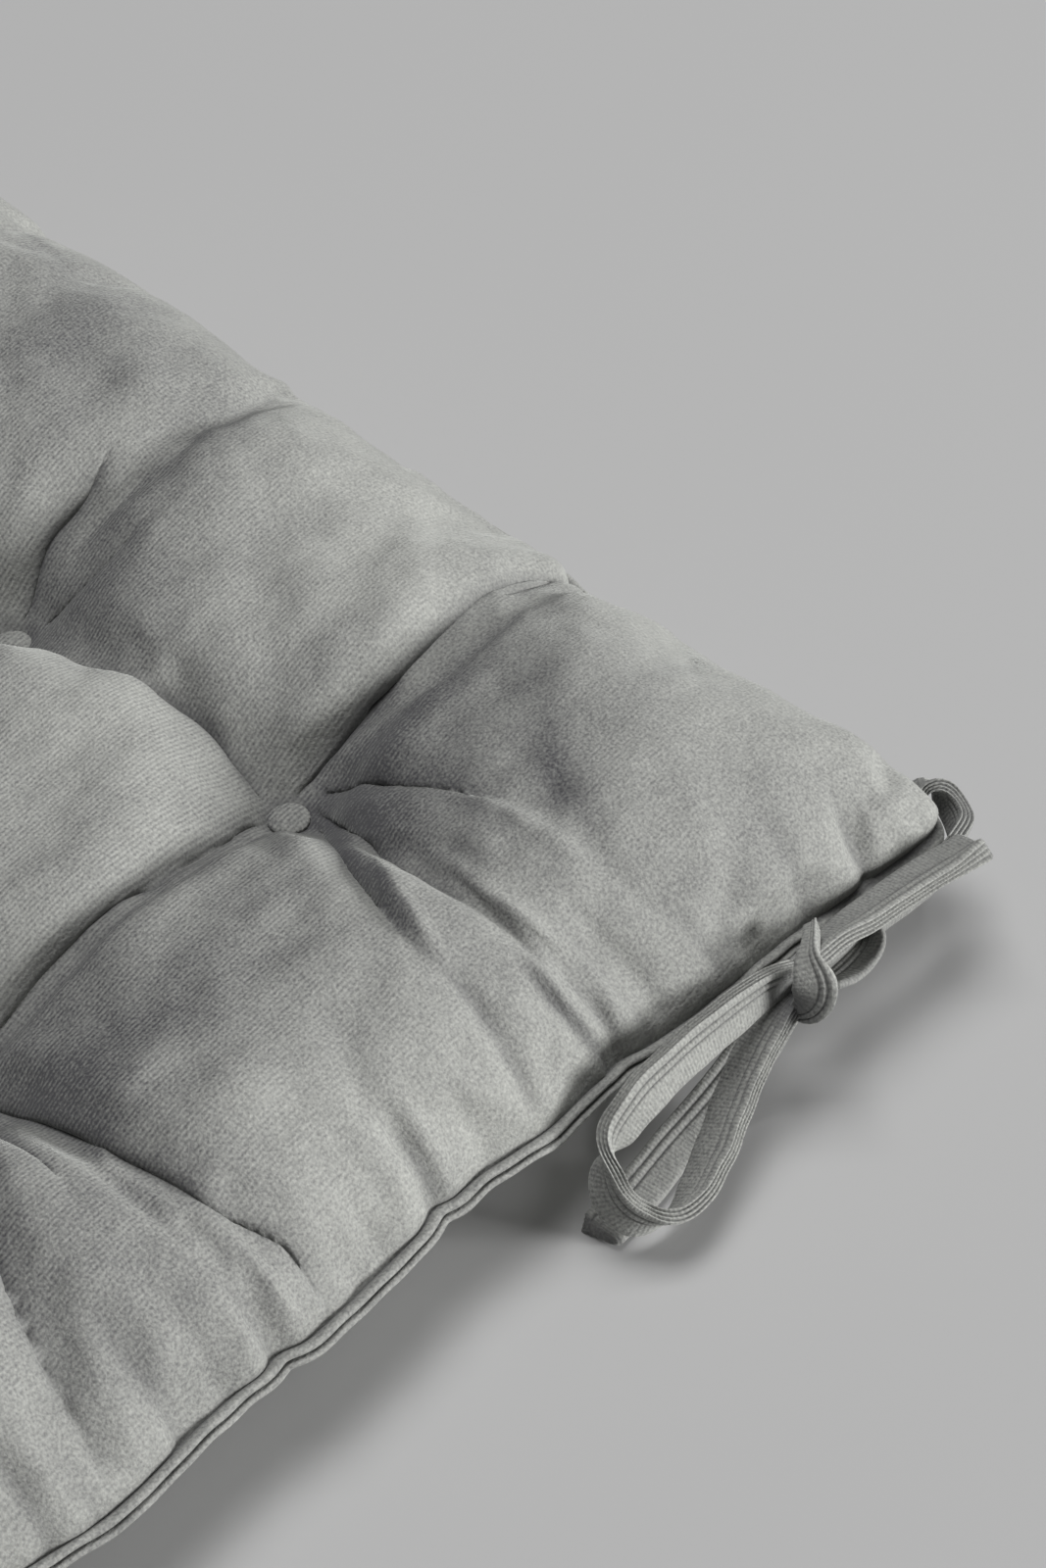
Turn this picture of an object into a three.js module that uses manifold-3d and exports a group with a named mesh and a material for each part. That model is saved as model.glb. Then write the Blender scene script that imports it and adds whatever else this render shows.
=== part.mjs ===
// A square tufted velvet chair pad with nine covered buttons, a sewn double lip all round
// and a tie at each back corner, knotted in a bow. Millimetres, +Z up, the ties at +Y.
import * as THREE from 'three';
import { mergeVertices } from 'three/addons/utils/BufferGeometryUtils.js';
import Module from 'manifold-3d';

// driving dimensions
const side = 450;                 // seam to seam
const seamHeight = 27;            // the seam over the surface
const cornerRadius = 8;
const middleRise = 3;             // extra height of the mounds in the middle
const topRoll = 70;               // how far in from the seam the top rolls over
const bottomRoll = 46;            // how far in from the seam the underside lands
const topPower = 0.62;            // 0.5 is a quarter ellipse, more is a softer shoulder
const bottomPower = 0.5;
const buttonPitch = 109;
const buttonRadius = 5.5;
const buttonThickness = 5;
const buttonSeat = 29.5;          // height of the cloth under a button
const tuftReach = 25;             // how far the funnel round a button spreads
const seatRadius = 8.5;           // level cloth under a button
const valleyDepth = 9;
const valleyWidth = 10;
const valleyMiddle = 0.45;        // share of its depth that a valley keeps between buttons
const puckerFade = 6;             // the higher, the closer to the seam a pucker stays
const bottomDimple = 5;
const bottomDimpleRadius = 24;
const lipWidth = 5;
const lipThickness = 4;
const lipRoot = 0.6;              // share of that thickness in the seam's groove
const lipShoulder = 0.72;         // share of the width where the lip is thickest
const strapWidth = 11.5;
const strapThickness = 2.4;
const strapStep = 4;              // length of a step along a strap
const buttonSides = 14;
const gap = 0.3;                  // air between two pieces

const half = side / 2;
const velvet = { color: 0x9fa09a, roughness: 0.9, metalness: 0 };

// A button's place on the grid, and how far it was pulled off it by hand.
const buttons = [
  { column: -1, row: 1, shiftX: -3, shiftY: -3 },
  { column: 0, row: 1, shiftX: 4, shiftY: 6 },
  { column: 1, row: 1, shiftX: 2, shiftY: 0 },
  { column: -1, row: 0, shiftX: 3, shiftY: 4 },
  { column: 0, row: 0, shiftX: 0, shiftY: 0 },
  { column: 1, row: 0, shiftX: -2, shiftY: 2 },
  { column: -1, row: -1, shiftX: 0, shiftY: 0 },
  { column: 0, row: -1, shiftX: 2, shiftY: -2 },
  { column: 1, row: -1, shiftX: 0, shiftY: 2 },
].map((b) => ({
  ...b,
  x: b.column * buttonPitch + b.shiftX,
  y: b.row * buttonPitch + b.shiftY,
}));

// Height of the mounds over the seam, from the front edge (y < 0) to the back.
const fullness = [
  { y: -225, height: 40 },
  { y: -165, height: 48 },
  { y: -110, height: 54 },
  { y: -60, height: 51 },
  { y: 10, height: 44 },
  { y: 70, height: 35 },
  { y: 150, height: 37 },
  { y: 225, height: 37 },
];

// Where the seam is drawn in, or bulges out where the draw is negative. The back edge is
// uneven, the other three are drawn in at each row of buttons.
const evenPuckers = [-buttonPitch, 0, buttonPitch].map((along) => ({ along, draw: 4, width: 15 }));
const backPuckers = [
  { along: -107, draw: 3.5, width: 20 },
  { along: -62, draw: 4, width: 22 },
  { along: -8, draw: -1.5, width: 16 },
  { along: 52, draw: -4.5, width: 26 },
  { along: buttonPitch, draw: 3, width: 18 },
];

const mix = (a, b, t) => a + (b - a) * t;
const bell = (t) => Math.exp(-t * t);

// Grid lines lie closer together beside the buttons and the seam.
function gridLines() {
  const inner = [0, 6, 14, 26, 40].map((d) => [d, buttonPitch - d]).flat();
  const outerBay = half - buttonPitch;
  const nearSeam = [cornerRadius, cornerRadius / 2, 0].map((d) => outerBay - d);
  const outer = [6, 14, 26, 42, 58, 76, 94, ...nearSeam];
  const right = [...inner, buttonPitch / 2, ...outer.map((d) => buttonPitch + d)];
  right.sort((a, b) => a - b);
  return [...right.slice(1).map((d) => -d).reverse(), ...right];
}

// Turns the square corner of the grid into a quarter circle.
function roundCorner(u, v) {
  const inner = half - cornerRadius;
  const a = (Math.abs(u) - inner) / cornerRadius;
  const b = (Math.abs(v) - inner) / cornerRadius;
  if (a <= 0 || b <= 0) return [u, v];
  return [
    Math.sign(u) * (inner + cornerRadius * a * Math.sqrt(1 - (b * b) / 2)),
    Math.sign(v) * (inner + cornerRadius * b * Math.sqrt(1 - (a * a) / 2)),
  ];
}

// How far the seam is drawn in at this place along an edge.
function drawnIn(puckers, place) {
  return puckers.reduce((sum, p) => sum + p.draw * bell((place - p.along) / p.width), 0);
}

function heightAt(y) {
  const next = Math.max(1, fullness.findIndex((row) => row.y >= y));
  const [from, to] = [fullness[next - 1], fullness[next]];
  const t = THREE.MathUtils.smoothstep(y, from.y, to.y);
  return mix(from.height, to.height, t);
}

// Plan position of a grid point: round corners, drawn-in seam, buttons off their grid.
function plan(u, v) {
  let [x, y] = roundCorner(u, v);
  const nearX = (Math.abs(u) / half) ** puckerFade;
  const nearY = (Math.abs(v) / half) ** puckerFade;
  x -= Math.sign(u) * drawnIn(evenPuckers, v) * nearX;
  y -= Math.sign(v) * drawnIn(v > 0 ? backPuckers : evenPuckers, u) * nearY;
  for (const b of buttons) {
    const away = Math.hypot(u - b.column * buttonPitch, v - b.row * buttonPitch);
    x += b.shiftX * bell(away / (buttonPitch / 2));
    y += b.shiftY * bell(away / (buttonPitch / 2));
  }
  return [x, y];
}

// Rises from 0 at the seam to 1 where the roll ends, upright at the seam.
function roll(distance, reach, power) {
  const left = 1 - Math.min(distance, reach) / reach;
  return (1 - left * left) ** power;
}

// The rolls of two edges run together plump at the corner.
function crown(u, v, reach, power) {
  const a = roll(half - Math.abs(u), reach, power);
  const b = roll(half - Math.abs(v), reach, power);
  return a * b === 0 ? 0 : (a * b) / Math.sqrt(a * a + b * b - a * a * b * b);
}

// Depth of the soft valleys that run from button to button and on to the seam.
function valley(u, v) {
  const lines = [-buttonPitch, 0, buttonPitch];
  const deepest = (across, along) => {
    const toButton = Math.min(...lines.map((p) => Math.abs(along - p)));
    const fade = mix(1, valleyMiddle, Math.min(toButton / (buttonPitch / 2), 1));
    const toSeam = Math.min((half - Math.abs(along)) / topRoll, 1);
    return fade * toSeam * Math.max(...lines.map((p) => bell((across - p) / valleyWidth)));
  };
  return valleyDepth * Math.max(deepest(u, v), deepest(v, u));
}

function topHeight(u, v) {
  const rise = middleRise * (1 - (u / half) ** 2) * (1 - (v / half) ** 2);
  let z = seamHeight + crown(u, v, topRoll, topPower) * (heightAt(v) + rise - valley(u, v));
  for (const b of buttons) {
    const away = Math.hypot(u - b.column * buttonPitch, v - b.row * buttonPitch);
    const pull = Math.exp(-Math.max(away - buttonRadius, 0) / tuftReach);
    const local = away < buttonPitch ? pull * (1 - (away / buttonPitch) ** 4) : 0;
    z = mix(z, buttonSeat, away <= seatRadius ? 1 : local);
  }
  return z;
}

function bottomHeight(u, v) {
  let z = seamHeight * (1 - crown(u, v, bottomRoll, bottomPower));
  for (const b of buttons) {
    const away = Math.hypot(u - b.column * buttonPitch, v - b.row * buttonPitch);
    z += bottomDimple * Math.max(0, 1 - (away / bottomDimpleRadius) ** 2) ** 2;
  }
  return z;
}

function meshGeometry(points, faces) {
  const geometry = new THREE.BufferGeometry();
  geometry.setAttribute('position', new THREE.Float32BufferAttribute(points.flat(), 3));
  geometry.setIndex(faces.flat());
  geometry.computeVertexNormals();
  return geometry;
}

// One closed skin: top cloth, the sewn lip round the seam, and the underside.
function cushionGeometry() {
  const lines = gridLines();
  const count = lines.length;
  const points = [];
  const faces = [];
  const at = (layer, i, j) => layer * count * count + i * count + j;
  for (const layer of [0, 1]) {
    for (const u of lines) {
      for (const v of lines) {
        const [x, y] = plan(u, v);
        const onSeam = Math.abs(u) === half || Math.abs(v) === half;
        const seamZ = seamHeight + (layer === 0 ? 0.5 : -0.5) * lipThickness * lipRoot;
        const z = layer === 0 ? topHeight(u, v) : bottomHeight(u, v);
        points.push([x, y, onSeam ? seamZ : z]);
      }
    }
  }
  for (let i = 0; i < count - 1; i++) {
    for (let j = 0; j < count - 1; j++) {
      const top = [at(0, i, j), at(0, i + 1, j), at(0, i + 1, j + 1), at(0, i, j + 1)];
      const low = [at(1, i, j), at(1, i, j + 1), at(1, i + 1, j + 1), at(1, i + 1, j)];
      for (const q of [top, low]) faces.push([q[0], q[1], q[2]], [q[0], q[2], q[3]]);
    }
  }
  addLip(points, faces, seamLoop(count), (layer, [i, j]) => at(layer, i, j));
  return meshGeometry(points, faces);
}

// Grid places round the seam, anticlockwise from above.
function seamLoop(count) {
  const last = count - 1;
  const run = [...Array(last).keys()];
  return [
    ...run.map((k) => [k, 0]),
    ...run.map((k) => [last, k]),
    ...run.map((k) => [last - k, last]),
    ...run.map((k) => [0, last - k]),
  ];
}

// The lip's section, outwards from the seam.
const lipSection = [
  { out: lipWidth * lipShoulder, up: lipThickness / 2 },
  { out: lipWidth, up: 0 },
  { out: lipWidth * lipShoulder, up: -lipThickness / 2 },
];

function addLip(points, faces, loop, at) {
  const size = loop.length;
  const rows = [loop.map((place) => at(0, place))];
  const seam = rows[0].map((index) => points[index]);
  for (const { out, up } of lipSection) {
    rows.push(seam.map((p, k) => {
      const before = seam[(k + size - 1) % size];
      const after = seam[(k + 1) % size];
      const along = new THREE.Vector2(after[0] - before[0], after[1] - before[1]).normalize();
      points.push([p[0] + along.y * out, p[1] - along.x * out, seamHeight + up]);
      return points.length - 1;
    }));
  }
  rows.push(loop.map((place) => at(1, place)));
  for (let r = 0; r < rows.length - 1; r++) {
    for (let k = 0; k < size; k++) {
      const next = (k + 1) % size;
      const [a, b, c, d] = [rows[r][k], rows[r + 1][k], rows[r + 1][next], rows[r][next]];
      faces.push([a, b, c], [a, c, d]);
    }
  }
}

// A covered button: a low dome with a rounded rim.
function buttonGeometry() {
  const profile = [
    { r: 0, z: 0 },
    { r: 0.7, z: 0 },
    { r: 1, z: 0.35 },
    { r: 0.82, z: 0.75 },
    { r: 0.45, z: 0.95 },
    { r: 0, z: 1 },
  ].map((p) => new THREE.Vector2(p.r * buttonRadius, p.z * buttonThickness));
  return new THREE.LatheGeometry(profile, buttonSides).rotateX(Math.PI / 2);
}

// Stations along the tie at the -X back corner: the strap's middle line, and how far its
// width leans from upright (0) towards flat (90), positive with the top edge leaning out.
const knotAt = { x: -161, y: 237, z: 32 };
const tieRuns = {
  lead: [
    { x: -231.6, y: 210, z: 27, lean: 0 },
    { x: -233.8, y: 214, z: 27, lean: 0 },
    { x: -234.2, y: 219.5, z: 28, lean: 0 },
    { x: -229.5, y: 228, z: 28, lean: 0 },
    { x: -219, y: 233, z: 28, lean: 0 },
    { x: -190, y: 233.2, z: 30, lean: 0 },
    { x: knotAt.x, y: knotAt.y - 3, z: knotAt.z, lean: 0 },
  ],
  farLoop: [
    { x: knotAt.x, y: knotAt.y - 1, z: knotAt.z + 1, lean: 0 },
    { x: -140, y: 233.5, z: 35, lean: 0 },
    { x: -118, y: 232.5, z: 35, lean: 0 },
    { x: -101, y: 232, z: 32, lean: 0 },
    { x: -91, y: 234.5, z: 25, lean: 6 },
    { x: -87, y: 241, z: 16, lean: 16 },
    { x: -91, y: 249, z: 11.5, lean: 30 },
    { x: -105, y: 251, z: 13, lean: 50 },
    { x: -124, y: 245, z: 17, lean: 52 },
    { x: -143, y: 240.5, z: 23, lean: 32 },
    { x: knotAt.x, y: knotAt.y + 1, z: knotAt.z - 2, lean: 10 },
  ],
  farTail: [
    { x: knotAt.x, y: knotAt.y, z: knotAt.z - 5, lean: 20 },
    { x: -148, y: 235, z: 17, lean: 60 },
    { x: -130, y: 234, z: 7, lean: 80 },
    { x: -110, y: 235.5, z: 3, lean: 88 },
    { x: -88, y: 237.5, z: 2, lean: 90 },
  ],
  nearTail: [
    { x: knotAt.x, y: knotAt.y + 1, z: knotAt.z + 3, lean: 0 },
    { x: -176, y: 237.5, z: 36, lean: 2 },
    { x: -192, y: 236.8, z: 35.5, lean: 3 },
    { x: -210, y: 236.5, z: 33, lean: 4 },
    { x: -226, y: 237, z: 29.5, lean: 8 },
  ],
  nearLoop: [
    { x: knotAt.x, y: knotAt.y + 1, z: knotAt.z - 4, lean: 0 },
    { x: -172, y: 239, z: 23, lean: 6 },
    { x: -182, y: 238.5, z: 20, lean: 8 },
    { x: -189, y: 235.5, z: 19, lean: 6 },
    { x: -185, y: 232.2, z: 20, lean: 0 },
    { x: -174, y: 233, z: 24, lean: 0 },
    { x: knotAt.x, y: knotAt.y - 1, z: knotAt.z - 4, lean: 0 },
  ],
  wrap: [
    { x: knotAt.x - 1, y: knotAt.y - 4.5, z: knotAt.z - 1, lean: 90 },
    { x: knotAt.x, y: knotAt.y - 3, z: knotAt.z + 9.5, lean: 90 },
    { x: knotAt.x, y: knotAt.y + 4, z: knotAt.z + 9.5, lean: 90 },
    { x: knotAt.x - 1, y: knotAt.y + 8.5, z: knotAt.z, lean: 90 },
    { x: knotAt.x - 2, y: knotAt.y + 5, z: knotAt.z - 9, lean: 90 },
    { x: knotAt.x - 2, y: knotAt.y - 1, z: knotAt.z - 8, lean: 90 },
  ],
};

// Section of the folded strap, flat faces with rounded edges.
const strapSection = [
  { across: -0.5, through: 0 },
  { across: -0.42, through: -0.5 },
  { across: 0.42, through: -0.5 },
  { across: 0.5, through: 0 },
  { across: 0.42, through: 0.5 },
  { across: -0.42, through: 0.5 },
];

// The strap's width direction at a station, square to its run.
function widthDirection(tangent, lean) {
  const up = new THREE.Vector3(0, 0, 1);
  if (lean === 90 && Math.abs(tangent.x) < 0.5) return new THREE.Vector3(1, 0, 0);
  const out = new THREE.Vector3(0, 1, 0);
  const angle = THREE.MathUtils.degToRad(lean);
  const width = up.multiplyScalar(Math.cos(angle)).add(out.multiplyScalar(Math.sin(angle)));
  return width.addScaledVector(tangent, -width.dot(tangent)).normalize();
}

function strapGeometry(stations) {
  const route = new THREE.CatmullRomCurve3(
    stations.map((s) => new THREE.Vector3(s.x, s.y, s.z)), false, 'centripetal');
  const steps = Math.max(4, Math.round(route.getLength() / strapStep));
  const sides = strapSection.length;
  const points = [];
  const faces = [];
  for (let k = 0; k <= steps; k++) {
    const t = route.getUtoTmapping(k / steps) * (stations.length - 1);
    const from = Math.min(Math.floor(t), stations.length - 2);
    const lean = mix(stations[from].lean, stations[from + 1].lean, t - from);
    const centre = route.getPointAt(k / steps);
    const tangent = route.getTangentAt(k / steps);
    const width = widthDirection(tangent, lean);
    const normal = new THREE.Vector3().crossVectors(tangent, width);
    for (const { across, through } of strapSection) {
      points.push(centre.clone()
        .addScaledVector(width, across * strapWidth)
        .addScaledVector(normal, through * strapThickness).toArray());
    }
  }
  for (let k = 0; k < steps; k++) {
    for (let s = 0; s < sides; s++) {
      const next = (s + 1) % sides;
      const [a, b] = [k * sides + s, k * sides + next];
      faces.push([a, b, b + sides], [a, b + sides, a + sides]);
    }
  }
  for (let s = 1; s < sides - 1; s++) {
    faces.push([0, s + 1, s], [steps * sides, steps * sides + s, steps * sides + s + 1]);
  }
  return meshGeometry(points, faces);
}

const wasm = await Module();
wasm.setup();

function solidOf(geometry) {
  geometry.deleteAttribute('normal');
  geometry.deleteAttribute('uv');
  const merged = mergeVertices(geometry);
  return new wasm.Manifold(new wasm.Mesh({
    numProp: 3,
    vertProperties: new Float32Array(merged.attributes.position.array),
    triVerts: new Uint32Array(merged.index.array),
  }));
}

function geometryOf(solid) {
  const mesh = solid.getMesh();
  const geometry = new THREE.BufferGeometry();
  geometry.setAttribute('position', new THREE.BufferAttribute(mesh.vertProperties, 3));
  geometry.setIndex(new THREE.BufferAttribute(mesh.triVerts, 1));
  geometry.computeVertexNormals();
  return geometry;
}

// The knot's heart, where the straps cross under the wrap.
function knotHeart() {
  const heart = new THREE.SphereGeometry(1, 12, 8);
  heart.scale(7.5, 5.5, 8);
  return heart.translate(knotAt.x, knotAt.y + 1, knotAt.z);
}

// One strap caught in the seam, both ends tied: all its runs are one solid.
function tieGeometry() {
  const runs = Object.values(tieRuns).map((stations) => solidOf(strapGeometry(stations)));
  return geometryOf(runs.reduce((all, run) => all.add(run), solidOf(knotHeart())));
}

// The same tie for the other corner, turned inside out by the mirror and set right again.
function mirrored(geometry) {
  const other = geometry.clone().scale(-1, 1, 1);
  const index = other.index.array;
  for (let k = 0; k < index.length; k += 3) {
    [index[k], index[k + 1]] = [index[k + 1], index[k]];
  }
  other.computeVertexNormals();
  return other;
}

const chairPad = new THREE.Group();

function add(name, geometry, x = 0, y = 0, z = 0) {
  const mesh = new THREE.Mesh(geometry, new THREE.MeshStandardMaterial(velvet));
  mesh.name = name;
  mesh.position.set(x, y, z);
  chairPad.add(mesh);
}

add('cushion', cushionGeometry());
for (const b of buttons) {
  const name = `button_${b.column + 2}_${b.row + 2}`;
  add(name, buttonGeometry(), b.x, b.y, buttonSeat + gap);
}
const tie = tieGeometry();
add('tie_left', tie);
add('tie_right', mirrored(tie));

// The origin is the middle of the whole part's box, on the surface that it lies on.
const box = new THREE.Box3().setFromObject(chairPad, true);
const middle = box.getCenter(new THREE.Vector3());
for (const mesh of chairPad.children) {
  mesh.position.sub(new THREE.Vector3(middle.x, middle.y, box.min.z));
}

export default chairPad;
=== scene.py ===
import math

import bpy
import numpy as np
from mathutils import Matrix, Vector


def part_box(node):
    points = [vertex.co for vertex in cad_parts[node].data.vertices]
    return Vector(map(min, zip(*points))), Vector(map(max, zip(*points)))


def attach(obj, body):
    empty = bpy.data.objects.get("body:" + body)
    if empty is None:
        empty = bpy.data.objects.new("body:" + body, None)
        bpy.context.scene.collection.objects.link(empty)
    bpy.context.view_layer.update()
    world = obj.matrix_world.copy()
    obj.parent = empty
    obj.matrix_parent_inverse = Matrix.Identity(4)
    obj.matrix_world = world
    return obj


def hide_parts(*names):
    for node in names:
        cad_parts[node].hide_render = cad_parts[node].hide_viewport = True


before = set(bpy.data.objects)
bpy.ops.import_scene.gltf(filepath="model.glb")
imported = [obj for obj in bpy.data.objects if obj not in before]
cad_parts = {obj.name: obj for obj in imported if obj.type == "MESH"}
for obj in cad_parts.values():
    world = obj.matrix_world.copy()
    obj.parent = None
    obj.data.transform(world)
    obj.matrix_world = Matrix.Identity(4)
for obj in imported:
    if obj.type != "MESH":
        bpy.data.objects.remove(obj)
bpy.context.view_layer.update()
mm = 0.001

# the cushion's own sizes, in millimetres round its middle; the ties' side is +y
cushion = {
    "side": 450, "seamHeight": 27, "seamGap": 2.4, "cornerRadius": 8, "middleRise": 3,
    "topRoll": 70, "topPower": 0.62, "bottomRoll": 46, "bottomPower": 0.5,
    "pitch": 109, "buttonRadius": 5.5, "seat": 29.5, "seatRadius": 4.0, "tuftReach": 25, "tuftPower": 0.6,
    "valleyDepth": 9, "valleyWidth": 10, "valleyMiddle": 0.45, "puckerFade": 6,
    "bottomDimple": 5, "dimpleRadius": 24,
    "cells": 144,   # cells along a side of the top cloth, a third as many below
    "crowding": 0.3,   # how much closer the cells lie at the buttons and the seam
    "smaller": 2.0,   # how much lower the cloth starts before it is filled
    "frames": 20, "cap": 5,
    "onSeam": 0.01,   # how near the rim a point counts as sewn
}
half, pitch = cushion["side"] / 2, cushion["pitch"]
# the lip leans up, and down where the ties are; a pair is from, to, or from, over
lip = {
    "width": 5, "tilt": 24, "tieTilt": -50, "steps": 720, "tiesFrom": (165, 25), "backFrom": (195, 20),
    "wave": (0.1, 0.35), "waves": (31, 53, 74, 97, 140), "ruffle": (0.1, 0.3), "ruffles": (41, 67, 118),
    "split": (-0.15, 0.3), "splitShade": 1.0, "seamShade": 0.8, "seamWidth": 1, "seed": 11,
}
# how far the filled top cloth stands out over the seam, and how high over it
bulge = {"left": 4.5, "right": 4.5, "back": 1.6, "front": 4.0, "height": 9, "fade": 12}
padMiddle = Vector((0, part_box("cushion")[0].y + (half + lip["width"]) * mm, 0))

# height of the mounds over the seam: place from front to back, height
fullness = [(-225, 40), (-165, 48), (-110, 54), (-60, 51), (10, 44), (70, 35), (150, 37), (225, 37)]
# where the back seam is drawn in: along, draw, width
backPuckers = [(-107, 3.5, 20), (-62, 4, 22), (-8, -1.5, 16), (52, -4.5, 26), (109, 3, 18),
               (-52, 1.6, 4), (0, 1.8, 4), (-113, 1.2, 4)]
tieTuck = {"at": 170, "width": 45, "draw": 3}   # the seam tucks in under the cloth at the ties
evenPuckers = [(-109, 4, 15), (0, 4, 15), (109, 4, 15)]
# buttons: column, row, and how far each was pulled off the grid by hand
buttonGrid = [
    (-1, 1, -3, -3), (0, 1, 4, 6), (1, 1, 2, 0),
    (-1, 0, 3, 4), (0, 0, 0, 0), (1, 0, -2, 2),
    (-1, -1, 0, 0), (0, -1, 2, -2), (1, -1, 0, 2),
]


def inFrame(points):
    return np.asarray(points, float) * mm + np.array(padMiddle)


def inMillimetres(points):
    return (points - np.array(padMiddle)) / mm


def lengths(rows):
    return np.linalg.norm(rows, axis=1)


def unit(rows):
    return rows / lengths(rows)[:, None]


# takes the part that runs along a direction out of each row
def without(rows, direction):
    return rows - direction * (rows * direction).sum(1)[:, None]


# a place seen from axes turned to the left
def turned(x, y, angle):
    return x * math.cos(angle) + y * math.sin(angle), y * math.cos(angle) - x * math.sin(angle)


def smooth(t):
    t = np.clip(t, 0, 1)
    return t * t * (3 - 2 * t)


def rising(t, start, over):
    return smooth((t - start) / over)


def bell(t):
    return np.exp(-t * t)


def setMode(mode):
    bpy.ops.object.mode_set(mode=mode)


def deselect():
    if bpy.context.mode != "OBJECT":
        setMode("OBJECT")
    bpy.ops.object.select_all(action="DESELECT")


def onlyThis(piece):
    deselect()
    piece.select_set(True)
    bpy.context.view_layer.objects.active = piece


def applyAll(piece):
    onlyThis(piece)
    for modifier in list(piece.modifiers):
        bpy.ops.object.modifier_apply(modifier=modifier.name)


def added(operation, name, **settings):
    deselect()
    operation(**settings)
    bpy.context.object.name = name
    return bpy.context.object


def makeGroup(piece, name, chosen):
    group = piece.vertex_groups.new(name=name)
    group.add(np.where(chosen)[0].tolist(), 1.0, "REPLACE")


def joinAll(pieces):
    onlyThis(pieces[0])
    for piece in pieces:
        piece.select_set(True)
    bpy.ops.object.join()
    return bpy.context.object


# in edit mode: the edges that have a face on one side only
def selectRim(kind="EDGE"):
    bpy.ops.mesh.select_mode(type=kind)
    bpy.ops.mesh.select_all(action="DESELECT")
    bpy.ops.mesh.select_non_manifold()


def selectFaces():
    bpy.ops.mesh.select_all(action="SELECT")


def roundOff(piece):
    rounder = piece.modifiers.new("rounder", "SUBSURF")
    rounder.levels = rounder.render_levels = 1
    applyAll(piece)


def shadeSmooth(piece):
    onlyThis(piece)
    bpy.ops.object.shade_smooth()


def readRows(items, name, size=3):
    flat = np.zeros(len(items) * size, np.float32)
    items.foreach_get(name, flat)
    return flat.reshape(-1, size).astype(float)


def getPoints(mesh):
    return readRows(mesh.vertices, "co")


def setPoints(mesh, points):
    mesh.vertices.foreach_set("co", np.asarray(points, np.float32).ravel())
    mesh.update()


def getNormals(mesh):
    return readRows(mesh.vertex_normals, "vector")


def keepValues(mesh, name, values):
    found = mesh.attributes.get(name) or mesh.attributes.new(name, "FLOAT", "POINT")
    found.data.foreach_set("value", np.asarray(values, np.float32))


def keptValues(mesh, name):
    return readRows(mesh.attributes[name].data, "value", 1)[:, 0]


# a socket that can be added, taken away and multiplied like a number
class Wire:
    def __init__(self, finish, socket):
        self.finish, self.socket = finish, socket

    def maths(self, operation, other, swapped=False):
        pair = [other, self] if swapped else [self, other]
        return self.finish.node("ShaderNodeMath", {"operation": operation}, dict(enumerate(pair)))

    def __add__(self, other):
        return self.maths("ADD", other)

    def __sub__(self, other):
        return self.maths("SUBTRACT", other)

    def __rsub__(self, other):
        return self.maths("SUBTRACT", other, True)

    def __mul__(self, other):
        return self.maths("MULTIPLY", other)

    __radd__, __rmul__ = __add__, __mul__

    def sine(self):
        return self.maths("SINE", 0)

    def within(self, low, high, fromLow=0.0, fromHigh=1.0):
        return self.finish.node("ShaderNodeMapRange", {"clamp": True}, {
            "Value": self, "From Min": fromLow, "From Max": fromHigh, "To Min": low, "To Max": high})


class Finish:
    def __init__(self, name):
        self.material = bpy.data.materials.new(name)
        self.material.use_nodes = True
        self.tree = self.material.node_tree
        self.tree.nodes.clear()

    def node(self, kind, settings=None, sockets=None, out=0):
        made = self.tree.nodes.new(kind)
        for key, value in (settings or {}).items():
            setattr(made, key, value)
        for key, value in (sockets or {}).items():
            if isinstance(value, Wire):
                self.tree.links.new(value.socket, made.inputs[key])
            else:
                made.inputs[key].default_value = value
        return Wire(self, made.outputs[out]) if len(made.outputs) else None

    def noise(self, where, scale, detail=2.0, distortion=0.0, roughness=0.5):
        return self.node("ShaderNodeTexNoise", {"noise_dimensions": "3D"}, {
            "Vector": where, "Scale": scale, "Detail": detail, "Distortion": distortion, "Roughness": roughness})

    def colours(self, factor, low, high):
        return self.node("ShaderNodeMix", {"data_type": "RGBA"}, {0: factor, 6: low, 7: high}, out=2)

    def kept(self, name):
        return self.node("ShaderNodeAttribute", {"attribute_name": name}, out=2)

    def along(self, where, x, y, z):
        return self.node("ShaderNodeVectorMath", {"operation": "DOT_PRODUCT"}, {0: where, 1: (x, y, z)}, out=1)

    def surface(self, sockets):
        shader = self.node("ShaderNodeBsdfPrincipled", None, sockets)
        self.node("ShaderNodeOutputMaterial", None, {"Surface": shader})
        return self.material


# the velvet's scales are in waves to a metre, its pitches and reaches in metres
velvet = {
    "dark": (0.090, 0.089, 0.096, 1), "light": (0.56, 0.567, 0.53, 1),
    "patchScale": 19, "patchAmount": 0.28, "mottleScale": 75, "mottleAmount": 0.16,
    "grainScale": 1300, "grainAmount": 0.96, "grainHeight": 0.9, "fuzzScale": 300, "fuzzHeight": 0.8,
    "ribAmount": 0.11, "ribHeight": 0.09, "ribPitch": 0.00129, "ribTurn": (0.14, -0.99, 0.2),
    "bendScale": 30, "bend": 4.0,   # the ribs wander
    "ribReach": (0.165, 0.215), "ribLeft": 0.2,   # the pile hides them away from the middle
    "strapPatches": 0.3, "strapRibs": 0.7, "stitchPitch": 0.0011,
    # the first value is how far the painted shade darkens the colour
    "paintedShadeStrength": 0.66, "pile": 0.00035, "bumpStrength": 0.8, "roughness": 0.92, "specular": 0.15,
    "sheen": 0.5, "sheenRoughness": 0.4, "sheenTint": (0.9, 0.92, 0.88, 1),
}


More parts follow.
